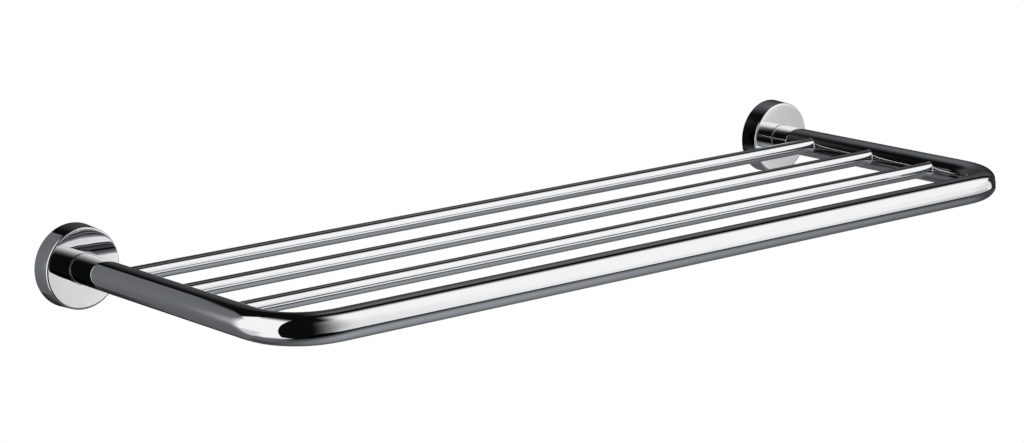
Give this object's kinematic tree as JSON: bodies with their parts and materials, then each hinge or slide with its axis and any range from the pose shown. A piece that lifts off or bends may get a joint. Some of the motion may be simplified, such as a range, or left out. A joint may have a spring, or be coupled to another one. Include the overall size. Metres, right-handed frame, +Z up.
{
  "type": "towel rack",
  "caption": "Wall-mounted chrome towel rack: a U-bent round tube with thinner cross bars between its arms, held by two round rosettes that hide the wall fixing.",
  "frame": {"origin": "on the wall plane, midway between the two rosettes, at the height of the frame tube's axis", "axes": "+X to the right along the bars as seen from the room, +Y into the wall, +Z up"},
  "size_m": [0.6535, 0.2407, 0.0534],
  "materials": {
    "chrome": "polished",
    "zinc_plate": "satin",
    "steel_screw": "satin",
    "brass_plug": "satin"
  },
  "bodies": {
    "root": {"frame_tube": "chrome", "rear_bar": "chrome", "middle_bar": "chrome", "front_bar": "chrome", "left_rosette": "chrome", "left_wall_plate": "zinc_plate", "left_tube_plug": "brass_plug", "left_tie_screw": "steel_screw", "left_lock_washer": "steel_screw", "left_grub_screw": "steel_screw", "right_rosette": "chrome", "right_wall_plate": "zinc_plate", "right_tube_plug": "brass_plug", "right_tie_screw": "steel_screw", "right_lock_washer": "steel_screw", "right_grub_screw": "steel_screw"}
  },
  "joints": []
}
